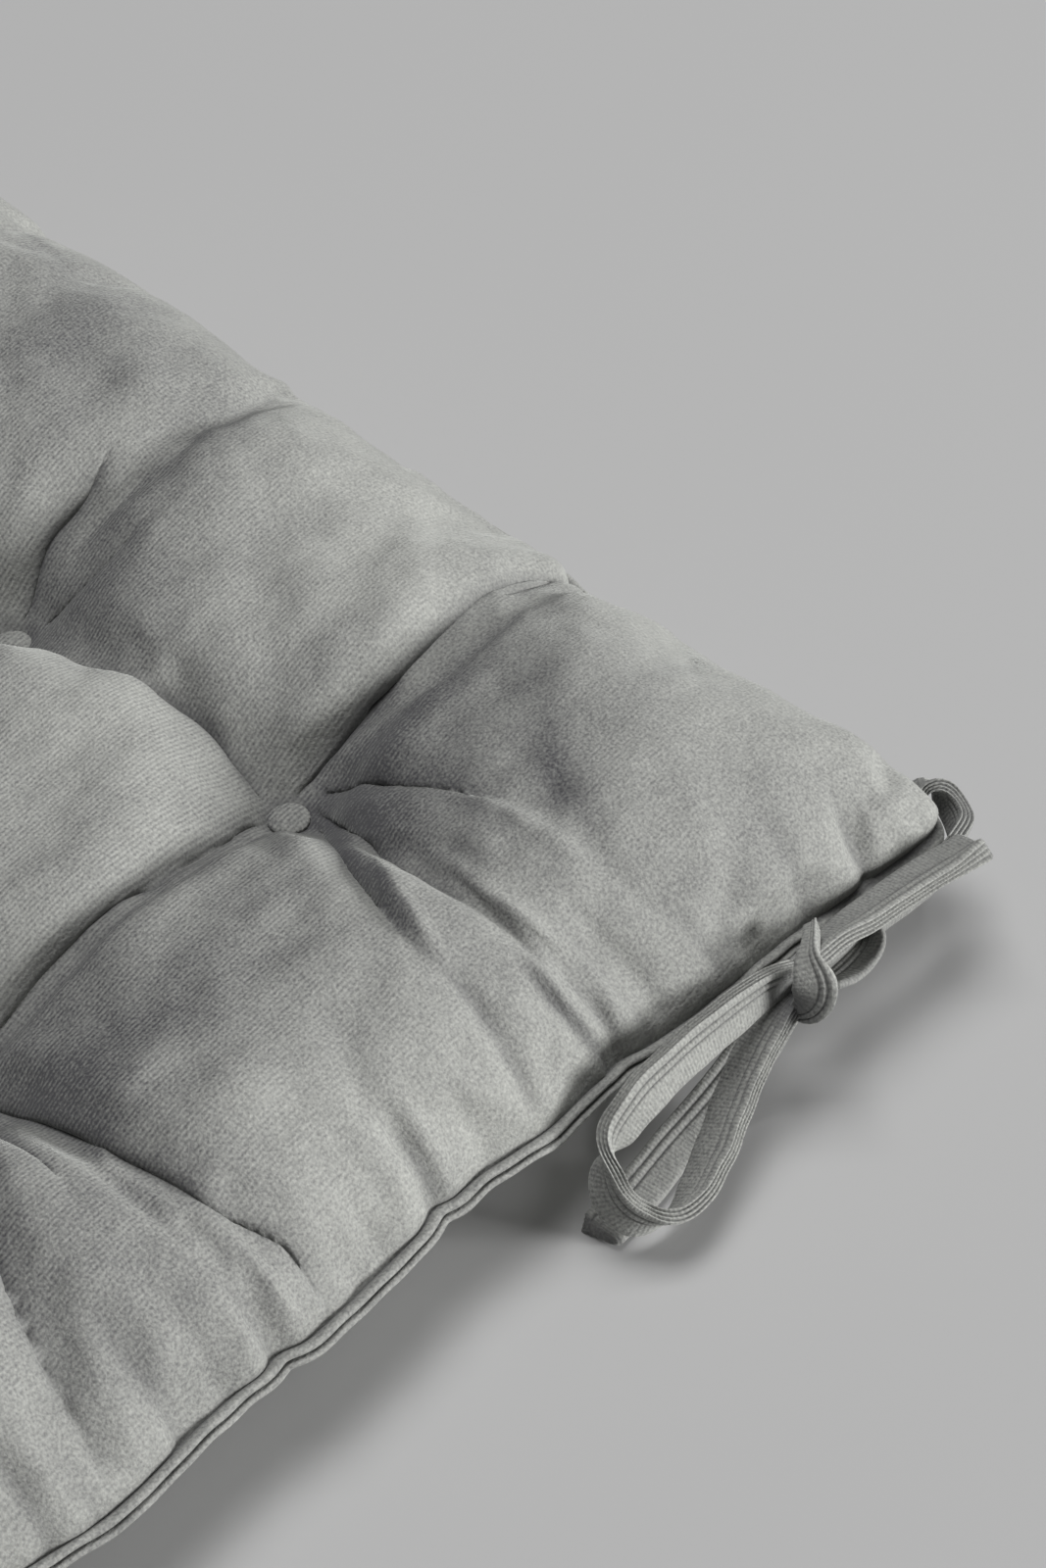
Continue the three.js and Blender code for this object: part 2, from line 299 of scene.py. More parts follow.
def velvetFinish(name, straps=False):
    made = Finish(name)
    where = made.node("ShaderNodeTexCoord", out=3)
    patches = made.noise(where, velvet["patchScale"], 3, 0.8, 0.55) - 0.5
    mottle = made.noise(where, velvet["mottleScale"], 3, 0.5) - 0.5
    grain = made.noise(where, velvet["grainScale"], 2) - 0.5
    bend = made.noise(where, velvet["bendScale"], 1) * velvet["bend"]
    ribs = (made.along(where, *(2 * math.pi / velvet["ribPitch"] * part for part in velvet["ribTurn"])) + bend).sine()
    pressed = made.node("ShaderNodeVectorMath", {"operation": "LENGTH"}, {0: where}, out=1).within(
        1.0, velvet["ribLeft"], *velvet["ribReach"])
    if straps:
        patches, pressed = patches * velvet["strapPatches"], velvet["strapRibs"]
        along = made.node("ShaderNodeUVMap", {"uv_map": "UVMap"})
        ribs = made.along(along, 2 * math.pi / velvet["stitchPitch"], 0, 0).sine()
    # the kept tone holds the nap with its painted light and shade by slope and strokes; patches, mottle, grain and
    # ribs are the velvet's own
    tone = (made.kept("napAndSlopeShade") + patches * velvet["patchAmount"] + mottle * velvet["mottleAmount"]
            + grain * velvet["grainAmount"] + ribs * pressed * velvet["ribAmount"])
    # painted shade: creases, grooves, hollows and straps that lie in shadow are darkened
    shaded = tone.within(0.0, 1.0) * (1 - made.kept("paintedShade") * velvet["paintedShadeStrength"])
    colour = made.colours(shaded, velvet["dark"], velvet["light"])
    fuzz = made.noise(where, velvet["fuzzScale"], 2)
    height = grain * velvet["grainHeight"] + ribs * velvet["ribHeight"] + fuzz * velvet["fuzzHeight"]
    raised = made.node("ShaderNodeBump", None, {
        "Strength": velvet["bumpStrength"], "Distance": velvet["pile"], "Height": height})
    return made.surface({
        "Base Color": colour, "Roughness": velvet["roughness"], "Normal": raised,
        "Specular IOR Level": velvet["specular"], "Sheen Weight": velvet["sheen"],
        "Sheen Roughness": velvet["sheenRoughness"], "Sheen Tint": velvet["sheenTint"]})


# the camera stands at the photograph's angle: degrees, and its place in millimetres
photoCamera = {
    "azimuth": 137.298, "elevation": 44.435, "roll": -3.21,
    "place": (291.3, 630.2, 685.7), "lens": 85, "sensor": 36, "clip": (0.05, 30),
}


def makeCamera():
    a, e, roll = (math.radians(photoCamera[k]) for k in ("azimuth", "elevation", "roll"))
    back = Vector((math.sin(a) * math.cos(e), -math.cos(a) * math.cos(e), math.sin(e)))
    right = Vector((math.cos(a), math.sin(a), 0))
    up = back.cross(right)
    sides = turned(right, up, roll)
    camera = added(bpy.ops.object.camera_add, "photo_camera")
    camera.data.lens, camera.data.sensor_width = photoCamera["lens"], photoCamera["sensor"]
    camera.data.clip_start, camera.data.clip_end = photoCamera["clip"]
    place = Matrix([*sides, back]).transposed().to_4x4()
    place.translation = Vector(inFrame(photoCamera["place"]))
    camera.matrix_world = place
    bpy.context.scene.camera = camera
    print("camera placed")


# crowds the cells of the cloth at the buttons and the seam
def spread(t):
    amount = cushion["crowding"] * pitch / (2 * math.pi)
    eased = t - amount * np.sin(2 * math.pi * t / pitch)
    last = half - amount * math.sin(2 * math.pi * half / pitch)
    return eased * half / last


def roundCorner(u, v):
    radius = cushion["cornerRadius"]
    inner = half - radius
    a, b = (np.abs(u) - inner) / radius, (np.abs(v) - inner) / radius
    inCorner = (a > 0) & (b > 0)
    a, b = np.clip(a, 0, 1), np.clip(b, 0, 1)
    x = np.where(inCorner, np.sign(u) * (inner + radius * a * np.sqrt(1 - b * b / 2)), u)
    y = np.where(inCorner, np.sign(v) * (inner + radius * b * np.sqrt(1 - a * a / 2)), v)
    return x, y


def drawnIn(puckers, place):
    return sum(draw * bell((place - along) / width) for along, draw, width in puckers)


def tucked(u):
    return tieTuck["draw"] * bell((np.abs(u) - tieTuck["at"]) / tieTuck["width"])


def heightAt(v):
    places, heights = np.array(fullness, float).T
    k = np.clip(np.searchsorted(places, v), 1, len(places) - 1)
    t = smooth((v - places[k - 1]) / (places[k] - places[k - 1]))
    return heights[k - 1] + (heights[k] - heights[k - 1]) * t


def fromButton(u, v, column, row):
    return np.hypot(u - column * pitch, v - row * pitch)


def plan(u, v):
    x, y = roundCorner(u, v)
    nearX, nearY = (np.abs(u) / half) ** cushion["puckerFade"], (np.abs(v) / half) ** cushion["puckerFade"]
    x = x - np.sign(u) * drawnIn(evenPuckers, v) * nearX
    y = y - np.sign(v) * np.where(v > 0, drawnIn(backPuckers, u) + tucked(u), drawnIn(evenPuckers, u)) * nearY
    for column, row, shiftX, shiftY in buttonGrid:
        pull = bell(fromButton(u, v, column, row) / (pitch / 2))
        x, y = x + shiftX * pull, y + shiftY * pull
    return x, y


def roll(distance, reach, power):
    left = 1 - np.minimum(distance, reach) / reach
    return np.clip(1 - left * left, 0, 1) ** power


def crown(u, v, reach, power):
    a, b = roll(half - np.abs(u), reach, power), roll(half - np.abs(v), reach, power)
    return a * b / np.sqrt(np.maximum(a * a + b * b - a * a * b * b, 1e-9))


def valley(u, v):
    lines = np.array([-pitch, 0, pitch])

    def deepest(across, along):
        toButton = np.abs(along[:, None] - lines).min(1)
        fade = 1 + (cushion["valleyMiddle"] - 1) * np.minimum(toButton / (pitch / 2), 1)
        toSeam = np.minimum((half - np.abs(along)) / cushion["topRoll"], 1)
        return fade * toSeam * bell((across[:, None] - lines) / cushion["valleyWidth"]).max(1)

    return cushion["valleyDepth"] * np.maximum(deepest(u, v), deepest(v, u))


def topHeight(u, v):
    rise = cushion["middleRise"] * (1 - (u / half) ** 2) * (1 - (v / half) ** 2)
    full = heightAt(v) + rise - valley(u, v) - cushion["smaller"]
    z = cushion["seamHeight"] + crown(u, v, cushion["topRoll"], cushion["topPower"]) * full
    for column, row, _, _ in buttonGrid:
        away = fromButton(u, v, column, row)
        pull = np.exp(-(np.maximum(away - cushion["seatRadius"], 0) / cushion["tuftReach"]) ** cushion["tuftPower"])
        local = np.where(away < pitch, pull * (1 - np.minimum(away / pitch, 1) ** 4), 0)
        local = np.where(away <= cushion["seatRadius"], 1, local)
        z = z + (cushion["seat"] - z) * local
    return z


def bottomHeight(u, v):
    z = cushion["seamHeight"] * (1 - crown(u, v, cushion["bottomRoll"], cushion["bottomPower"]))
    for column, row, _, _ in buttonGrid:
        away = fromButton(u, v, column, row)
        z = z + cushion["bottomDimple"] * np.clip(1 - (away / cushion["dimpleRadius"]) ** 2, 0, 1) ** 2
    return z


# the filling pushes the top cloth out over its seam
def pushedOut(u, v, x, y, z):
    over = np.clip(z - cushion["seamHeight"], 0, None) / bulge["height"]
    out = over * np.exp(1 - over)
    x = x + out * np.sign(u) * np.where(u < 0, bulge["left"], bulge["right"]) * (np.abs(u) / half) ** bulge["fade"]
    sideways = np.where(v < 0, bulge["front"], bulge["back"] + tucked(u))
    y = y + out * np.sign(v) * sideways * (np.abs(v) / half) ** bulge["fade"]
    return x, y


def clothGrid(name, cells, top):
    cloth = added(bpy.ops.mesh.primitive_grid_add, name,
                  x_subdivisions=cells, y_subdivisions=cells, size=cushion["side"])
    setMode("EDIT")
    if not top:   # the underside's rim gets as many points as the top cloth's
        selectRim()
        bpy.ops.mesh.subdivide(number_cuts=2, ngon=True, quadcorner="STRAIGHT_CUT")
        selectFaces()
        bpy.ops.mesh.flip_normals()
    setMode("OBJECT")
    points = getPoints(cloth.data)
    u, v = spread(points[:, 0]), spread(points[:, 1])
    onSeam = (np.abs(u) > half - cushion["onSeam"]) | (np.abs(v) > half - cushion["onSeam"])
    x, y = plan(u, v)
    seamZ = cushion["seamHeight"] + (0.5 if top else -0.5) * cushion["seamGap"]
    z = np.where(onSeam, seamZ, topHeight(u, v) if top else bottomHeight(u, v))
    if top:
        x, y = pushedOut(u, v, x, y, z)
    away = np.min([fromButton(u, v, column, row) for column, row, _, _ in buttonGrid], axis=0)
    setPoints(cloth.data, inFrame(np.stack([x, y, z], 1)))
    keepValues(cloth.data, "topCloth", np.full(len(u), float(top)))
    keepValues(cloth.data, "held", onSeam | (away < cushion["seatRadius"]) if top else np.ones(len(u)))
    return cloth


# the cloth as it is filled; the shrink is extra cloth that the filling pushes into folds
filling = {
    "quality": 6, "mass": 0.15, "tension_stiffness": 12, "compression_stiffness": 12, "shear_stiffness": 5,
    "bending_stiffness": 0.4, "shrink_min": -0.03, "use_pressure": True, "uniform_pressure_force": 4,
    "vertex_group_mass": "held",
}


def fillWithCloth(piece):
    start = getPoints(piece.data)
    makeGroup(piece, "held", keptValues(piece.data, "held") > 0.5)
    cloth = piece.modifiers.new("filling", "CLOTH")
    for name, value in filling.items():
        setattr(cloth.settings, name, value)
    cloth.settings.effector_weights.gravity = 0
    cloth.point_cache.frame_start, cloth.point_cache.frame_end = 1, cushion["frames"]
    scene = bpy.context.scene
    for step in range(1, cushion["frames"] + 1):
        scene.frame_set(step)
    filled = piece.evaluated_get(bpy.context.evaluated_depsgraph_get())
    moved = getPoints(filled.to_mesh()) - start
    filled.to_mesh_clear()
    piece.modifiers.remove(cloth)
    length = lengths(moved)
    cap = cushion["cap"] * mm
    print("filled, moved up to", round(length.max() / mm, 1), "mm, mean", round(length.mean() / mm, 2))
    setPoints(piece.data, start + moved * (cap * np.tanh(length / cap) / np.maximum(length, 1e-9))[:, None])
    scene.frame_set(1)


def foldTable(columns, rows, **usual):
    return [{**usual, **dict(zip(columns.split(), row))} for row in rows]


# folds seen in the photograph: points from the button outwards as x, y, x, y, depth, width at each
# side of the line, how far the left-hand cloth laps over it, and the share that is left at its end
sharpFolds = foldTable("line depth left right lap last", [
    ([-117, 103, -135, 103, -153, 103, -172, 101, -193, 97, -207, 97, -226, 102], 8.5, 13, 22, -3.2, 0.8),
    ([-196, 103, -210, 103, -226, 99], 2.2, 5, 7, -0.8, 0.8),
    ([-118, 106, -124, 113, -127, 128, -131, 143, -134, 156, -139, 166], 5.5, 11, 14, -1.6, 0.25),
    ([-118, 107, -113, 130, -109, 148, -107, 167, -108, 184], 4.6, 7, 10, 1.4, 0.15),
    ([-115, 110, -102, 137, -96, 151, -90, 168, -84, 187], 7, 8, 10, -2, 0),
    ([-111, 99, -111, 88, -112, 74, -108, 52, -103, 35, -106, 9], 6.5, 18, 20, 3.5, 0.9),
    ([-108, 103, -101, 104, -79, 108, -57, 110, -39, 111, -8, 113], 3.6, 16, 5, 1.2, 0.9),
    ([-104, 108, -94, 111, -72, 115, -47, 117, -23, 118, -4, 118], 4, 5, 18, 0.8, 0.9),
    ([-111, 2, -128, -4, -143, -4, -165, -12], 6, 15, 13, 2, 0),
    ([-112, 7, -129, 16, -153, 20], 3.5, 10, 14, 1.5, 0),
    ([2, 122, 1, 132, 0, 154, -2, 174, -5, 189, -7, 200, -14, 214, -15, 223], 5.5, 13, 15, 2.5, 0.55),
    ([8, 120, 11, 147, 14, 174, 18, 190], 4, 10, 12, 1.5, 0),
    ([14, 120, 26, 152, 38, 182, 44, 200, 47, 213, 49, 224], 5.5, 11, 13, 2, 0.5),
])

# rounder dents and, below nought, ridges: points, depth, width, and what is left at each end
softFolds = foldTable("line depth width ends", [
    ([-104, 134, -98, 148, -92, 164, -87, 184], 3.4, 2.6, (0.1, 0.1)),
    ([-113, 132, -109, 150, -107, 168, -108, 186], 2.6, 2.6, (0.1, 0.1)),
    ([-90, 176, -88, 186, -88, 198, -86.7, 208, -85, 219], 3.2, 3.4, (0, 0.8)),
    ([-104, 194, -104, 207, -106, 216, -109, 222], 4.2, 3.4, (0, 1)),
    ([-114, 152, -113, 166, -112, 181, -114, 200, -115, 216], -2.3, 3.6, (0.1, 0.3)),
    ([-102, 150, -96, 163, -91, 178, -87, 194], -2.4, 2.7, (0.1, 0.2)),
    ([-107, 190, -106, 205, -107, 222], -2, 3.2, (0.1, 0.8)),
    ([-111, 196, -112, 208, -113, 222], 2.3, 3),
    ([-118, 190, -120, 206, -121, 222], 1.8, 4),
    ([-128, 138, -131, 154, -133, 174, -134, 196], -1.7, 4.6, (0.1, 0.1)),
    ([-137, 177, -138, 192, -139, 211, -140, 221], 1.3, 5.5, (0.2, 1)),
    ([-122, 176, -125, 196, -127, 220], 1.5, 6.5, (0.2, 1)),
    ([-142, 203, -146, 221], 1.6, 4, (0.2, 1)),
    ([-143, 164, -148, 173], 2, 6, (0.4, 0.4)),
    ([-202, 208, -198, 217, -196, 225], 3.4, 3, (0.2, 1)),
    ([-208, 210, -203, 220], -1.2, 4, (0.2, 0.8)),
    ([-182, 200, -178, 214, -176, 224], 1.7, 4),
    ([-160, 205, -158, 222], 1, 5),
    ([-70, 204, -69, 212, -69, 222], 1.2, 4),
    ([-52, 204, -52.5, 214, -52, 222], 3.4, 3),
    ([-57, 204, -56.5, 220], -1.8, 3.4, (0.1, 0.8)),
    ([-34, 200, -33, 210, -34, 222], 1.5, 3.6),
    ([-26, 200, -24, 222], 1, 5),
    ([-5, 206, -6, 222], -1.3, 3.4),
    ([3, 212, 2, 226], 2.4, 3.4),
    ([17, 196, 16, 226], 1.1, 5),
    ([30, 198, 31, 213, 30, 227], 2.4, 4),
    ([56, 208, 56, 229], 1.8, 3.6),
    ([66, 206, 68, 228], 2.2, 4.2),
    ([-199, -108, -200, -92, -194, -65], 1.4, 3.5, (0.2, 0.2)),
    ([-190, -100, -197, -78], 1.4, 4, (0.2, 0.2)),
    ([-183, 95, -196, 94, -208, 95], -1.4, 3.4, (0.2, 0.2)),
    ([-204, 108, -214, 109, -224, 110], 1.6, 3.6, (0.2, 1)),
], ends=(0.1, 1))


def buttonPlace(column, row):
    shift = next(b for b in buttonGrid if b[:2] == (column, row))
    return np.array([column * pitch + shift[2], row * pitch + shift[3]], float)


# the folds of the parts that the photograph doesn't show, of the same kinds; a pair is from, to
plain = {
    "seed": 7, "start": 7, "inset": 3, "wander": 8, "bend": 9,
    "longDepth": (4, 6.5), "longWidth": (14, 20), "longLap": (1, 3),
    "perButton": 3, "turn": 22, "shortReach": (38, 62), "shortBend": 6,
    "shortDepth": (2.5, 4), "shortWidth": (10, 15), "shortLap": (-1.5, 1.5),
    "pleatsFrom": (-200, -190), "pleatsTo": 205, "pleatEvery": (17, 36), "pleatReach": (14, 38), "pleatLean": 8,
    "pleatDepth": (0.7, 2.0), "pleatWidth": (4, 7), "pleatEnds": (0.1, 1),
}

# the back, front, right and left edge: how a place at the back is turned to it, and where it is hidden
hiddenEdges = [
    (((1, 0), (0, 1)), 70, 225), (((1, 0), (0, -1)), -225, 225),
    (((0, 1), (1, 0)), -225, 225), (((0, 1), (-1, 0)), -225, -60),
]


def otherFolds():
    draw = np.random.default_rng(plain["seed"])

    def drawn(name):
        return draw.uniform(*plain[name])

    def either(name, count=None):
        return draw.uniform(-plain[name], plain[name], count)

    def press(kind, line, last):
        sharp.append({"line": line, "depth": drawn(kind + "Depth"), "left": drawn(kind + "Width"),
                      "right": drawn(kind + "Width"), "last": last,
                      "lap": (draw.choice([-1, 1]) if kind == "long" else 1) * drawn(kind + "Lap")})

    sharp, soft = [], []
    shown = {((-1, 1), (-2, 1)), ((-1, 1), (-1, 0)), ((-1, 1), (0, 1)), ((-1, 1), (-1, 2)),
             ((-1, 0), (-2, 0)), ((0, 1), (0, 2))}
    far, gap = half - plain["inset"], plain["start"]
    for column, row, _, _ in buttonGrid:
        start = buttonPlace(column, row)
        for stepX, stepY in ((1, 0), (-1, 0), (0, 1), (0, -1)):
            there = (column + stepX, row + stepY)
            pair = ((column, row), there)
            inside = max(abs(there[0]), abs(there[1])) <= 1
            if pair in shown or pair[::-1] in shown or (inside and (stepX < 0 or stepY < 0)):
                continue
            step = np.array([stepX, stepY])
            end = buttonPlace(*there) if inside else np.where(step, step * far, start + either("wander", 2))
            along = (end - start) / np.linalg.norm(end - start)
            side = np.array([-along[1], along[0]])
            bend = either("bend")
            line = [start + along * gap, start * 0.7 + end * 0.3 + side * bend * 0.8,
                    start * 0.35 + end * 0.65 + side * bend, end - along * (gap if inside else 0)]
            press("long", line, 0.9 if inside else 0.5)
        if (column, row) == (-1, 1):
            continue
        for quarter in draw.permutation(4)[:plain["perButton"]]:   # shorter folds between the long ones
            angle = math.radians(45 + 90 * quarter + either("turn"))
            if (column, row) in ((-1, 0), (0, 1)) and (math.cos(angle) < 0 or math.sin(angle) > 0):
                continue
            away = np.array([math.cos(angle), math.sin(angle)])
            reach = drawn("shortReach")
            side = np.array([-away[1], away[0]]) * either("shortBend")
            line = [start + away * gap, start + away * reach * 0.5 + side, start + away * reach]
            press("short", line, 0.0)
    for turn, low, high in hiddenEdges:   # short pleats where the cloth meets the seam
        place = drawn("pleatsFrom")
        while place < plain["pleatsTo"]:
            reach = drawn("pleatReach")
            depth, width = drawn("pleatDepth"), drawn("pleatWidth")
            lean = either("pleatLean")
            line = np.array([(place + lean, far - reach), (place, far)]) @ turn
            if low < place < high:
                soft.append({"line": line, "depth": depth, "width": width, "ends": plain["pleatEnds"]})
            place += drawn("pleatEvery")
    return sharp, soft


def throughPoints(line, steps=40):
    line = np.reshape(np.asarray(line, float), (-1, 2))
    if len(line) == 2:
        return line[0] + np.linspace(0, 1, steps)[:, None] * (line[1] - line[0])
    ends = np.vstack([2 * line[0] - line[1], line, 2 * line[-1] - line[-2]])
    made = []
    count = max(3, steps // (len(line) - 1))
    for k in range(1, len(ends) - 2):
        a, b, c, d = ends[k - 1:k + 3]
        t = np.linspace(0, 1, count, endpoint=False)[:, None]
        made.append(0.5 * (2 * b + (c - a) * t + (2 * a - 5 * b + 4 * c - d) * t ** 2
                           + (3 * b - a - 3 * c + d) * t ** 3))
    return np.vstack(made + [line[-1:]])


# the nearest place on a line: distance, share of the length, side (left is positive), and
# the direction across the line to the left
def nearLine(places, route):
    best = np.full(len(places), 1e9)
    share, side = np.zeros(len(places)), np.zeros(len(places))
    across = np.zeros((len(places), 2))
    runs = lengths(np.diff(route, axis=0))
    total, done = runs.sum(), 0.0
    for a, b, run in zip(route[:-1], route[1:], runs):
        along = (b - a) / max(run, 1e-9)
        t = np.clip((places - a) @ along, 0, run)
        gap = places - (a + t[:, None] * along)
        distance = lengths(gap)
        closer = distance < best
        left = np.array([-along[1], along[0]])
        best[closer] = distance[closer]
        share[closer] = ((done + t) / total)[closer]
        side[closer] = np.sign(gap @ left + 1e-9)[closer]
        across[closer] = left
        done += run
    return best, share, side, across


# for each fold, the points of the top cloth within its reach, and how they lie to its line
def eachFold(folds, flat, top, reachOf):
    for fold in folds:
        route = throughPoints(fold["line"])
        low, high = route.min(0) - reachOf(fold), route.max(0) + reachOf(fold)
        near = np.where(top & ((flat[:, :2] > low) & (flat[:, :2] < high)).all(1))[0]
        yield fold, near, *nearLine(flat[near, :2], route)


# how folds are pressed in and where painted shade goes, in millimetres and shares of a length; a pair is from, over
form = {
    "gatherReach": 9, "gatherWidth": 2.2, "gatherEnd": (0.7, 0.3),   # the cells drawn to a line
    "upright": 0.6, "firstOver": 0.12, "firstLeft": 0.35, "end": (0.3, 0.7), "sideFade": 4,
    "crease": 0.65, "dish": 0.35, "dishWidth": 2.2, "lapUnder": 0.3, "lapAt": 0.16, "lapWidth": 0.2,
    "creaseShade": 2.8, "fullShade": 6,
    "softReach": 2.6, "pastEnds": 0.7, "point": 0.6, "pointWidth": 2.4, "hollow": 0.4,
    "dents": 0.75, "ridges": 1.25, "shadedFrom": 1.5, "dentShade": 0.7, "dentFull": 4,
    "seamFade": 4, "seamShade": 0.8, "seamReach": 3.2,
    "atButton": 2.0, "perReach": 0.6, "buttonFade": (3, 4), "rimShade": 0.75, "rimRadius": 5.2, "rimWidth": 1.7,
    "easedFrom": 0.03, "easing": 0.5,
    # uneven filling, and small ripples of the cloth: length, height, how many waves
    "waves": ((62, 0.8, 7), (27, 0.35, 9), (12, 0.1, 9)), "seed": 3, "waveBend": 1.5, "waveCross": 1.7,
}


# draws the cells together at a fold's line, along the cloth, so that the line stays clean
def gatherCells(points, normals, top, folds):
    flat = inMillimetres(points)
    for fold, near, away, share, side, across in eachFold(folds, flat, top, lambda _: form["gatherReach"]):
        inside = (share > 0.001) & (share < 0.999)
        shift = -side * away * bell(away / form["gatherWidth"]) * inside
        shift = shift * (1 - rising(share, *form["gatherEnd"]) * (1 - fold["last"]))
        step = np.column_stack([across * shift[:, None], np.zeros(len(near))])
        flat[near] += without(step, normals[near])
    return inFrame(flat)


def foldCloth(piece):
    normals = getNormals(piece.data)
    top = keptValues(piece.data, "topCloth") > 0.5
    moreSharp, moreSoft = otherFolds()
    points = gatherCells(getPoints(piece.data), normals, top, sharpFolds + moreSharp)
    pushed = np.zeros_like(points)
    shade, dips = np.zeros(len(points)), np.zeros(len(points))
    flat = inMillimetres(points)
    outwards = unit(normals + (0, 0, form["upright"]))
    for fold, near, away, share, side, across in eachFold(
            sharpFolds + moreSharp, flat, top, lambda fold: max(fold["left"], fold["right"]) + form["sideFade"]):
        width = np.where(side > 0, fold["left"], fold["right"])
        t = np.clip(away / width, 0, 1)
        sharp = 1 - np.sqrt(np.clip(1 - (1 - t) ** 2, 0, 1))
        strength = smooth(share / form["firstOver"] + form["firstLeft"])
        strength = strength * (1 - (1 - fold["last"]) * rising(share, *form["end"]))
        atSides = bell(np.clip(away - width, 0, None) / form["sideFade"])
        dish = form["dish"] * bell(t * form["dishWidth"])
        dip = (form["crease"] * sharp + dish - form["dish"] * bell(form["dishWidth"])) * strength * atSides
        dips[near] += fold["depth"] * dip
        lap = abs(fold["lap"])
        lapping = np.where(side * fold["lap"] > 0, lap, form["lapUnder"] * lap)
        shift = -side * lapping * strength * bell((t - form["lapAt"]) / form["lapWidth"])
        pushed[near, :2] += across * shift[:, None]
        # painted shade along the crease
        dark = strength ** 2 * bell(away / form["creaseShade"]) * min(1, fold["depth"] / form["fullShade"])
        shade[near] = np.maximum(shade[near], dark)
    for fold, near, away, share, _, _ in eachFold(
            softFolds + moreSoft, flat, top, lambda fold: fold["width"] * form["softReach"] + 2):
        first, last = fold["ends"]
        strength = 1 - (1 - first) * (1 - smooth(share * 2)) - (1 - last) * smooth(share * 2 - 1)
        off = away / fold["width"]
        beyond = np.where((share < 0.002) | (share > 0.998), bell(off * form["pastEnds"]), 1)
        crisp = form["point"] * np.exp(-(off * form["pointWidth"])) + form["hollow"] * bell(off)
        kind = form["dents" if fold["depth"] > 0 else "ridges"]
        dip = crisp * fold["depth"] * kind * strength * beyond
        pushed[near] -= outwards[near] * dip[:, None]
        # painted shade in the deeper dents
        if fold["depth"] > form["shadedFrom"]:
            dark = form["dentShade"] * strength * beyond * bell(off * 2) * fold["depth"] / form["dentFull"]
            shade[near] = np.maximum(shade[near], np.clip(dark, 0, 1))
    overSeam = flat[:, 2] - cushion["seamHeight"]
    seamShare = np.clip(overSeam / form["seamFade"], 0, 1)   # the seam itself stays
    # painted shade in the groove where the cloth meets the seam
    shade = np.maximum(shade, form["seamShade"] * top * smooth(1 - overSeam / form["seamReach"]))
    fromButtons = np.min([lengths(flat[:, :2] - buttonPlace(*place[:2])) for place in buttonGrid], axis=0)
    atButton = rising(fromButtons, *form["buttonFade"])
    # painted shade in a ring round each button
    rim = bell((fromButtons - form["rimRadius"]) / form["rimWidth"]) * top
    shade = np.maximum(shade, form["rimShade"] * rim)
    deepest = form["atButton"] + form["perReach"] * np.clip(fromButtons - cushion["buttonRadius"], 0, None)
    pushed -= outwards * (deepest * np.tanh(dips / deepest))[:, None]
    pushed *= (seamShare * atButton)[:, None]
    draw = np.random.default_rng(form["seed"])
    uneven = np.zeros(len(flat))
    for length, height, waves in form["waves"]:
        for _ in range(waves):
            angle, phase = draw.uniform(0, 2 * math.pi, 2)
            along, cross = turned(flat[:, 0], flat[:, 1], angle)
            bent = form["waveBend"] * np.sin(cross * 2 * math.pi / (length * form["waveCross"]))
            uneven += height / math.sqrt(waves) * np.sin(along * 2 * math.pi / length + phase + bent)
    pushed += outwards * (uneven * seamShare * atButton * top)[:, None]
    setPoints(piece.data, points + pushed * mm)
    makeGroup(piece, "creased", (shade > form["easedFrom"]) & (seamShare > 0.99))
    easing = piece.modifiers.new("easing", "SMOOTH")
    easing.factor, easing.iterations, easing.vertex_group = form["easing"], 1, "creased"
    applyAll(piece)
    keepValues(piece.data, "paintedShade", shade)
    keepNapAndSlopeShade(piece, strokedAndShaded=True)
    print("folds pressed in:", len(sharpFolds) + len(moreSharp), "sharp,", len(softFolds) + len(moreSoft), "soft")


# the pile is brushed to one side; a slope's tone by the way it faces is partly that nap and partly painted light and
# shade
napAndSlopeShade = {
    "x": -0.5, "y": 0.82, "level": 0.475, "darkSlope": 0.56, "lightSlope": 0.18,
    "lip": 0.5, "button": 0.8, "tie": 0.6, "tieLift": 0.1, "strokeEdge": 0.25,
}
# where the pile was stroked the other way, and painted shade and light beside the folds: x, y, long and short reach,
# turn, darker below nought
napStrokesAndPaintedShade = [
    (-148, 168, 17, 5, 1.2, -0.16), (-160, 152, 16, 9, 0.6, -0.10), (-181, 160, 20, 9, 0.5, -0.07),
    (-50, 153, 24, 15, 0.2, -0.12), (20, 183, 24, 12, 0.3, -0.10), (-197, -88, 18, 7, 1.2, -0.16),
    (-130, 40, 18, 10, 0.4, -0.08), (-187, 0, 26, 12, 0.9, -0.06), (-88, 60, 30, 20, 0.6, 0.08),
    (-30, 190, 26, 12, 0.2, 0.05), (-170, 60, 24, 14, 0.7, 0.05),
    (-6, 150, 34, 16, 0.3, -0.12), (14, 190, 40, 20, 0.1, -0.10), (-200, -60, 40, 14, 1.2, -0.10),
    (-192, -10, 30, 14, 1.1, -0.08), (-144, 119, 28, 8, 0.05, -0.15), (-181, 73, 26, 16, 0.3, 0.15),
    (-182, 205, 30, 16, 0.1, -0.09), (-167, -42, 30, 18, 0.8, -0.2), (-71, 219, 30, 8, 0, 0.08),
    (-104, 139, 26, 4, 1.16, -0.24), (-92, 163, 20, 2.4, 1.16, 0.12), (-122, 138, 26, 11, 1.94, -0.16),
    (-111, 176, 22, 2.6, 1.65, 0.1), (10, 211, 36, 13, 0, -0.12),
]
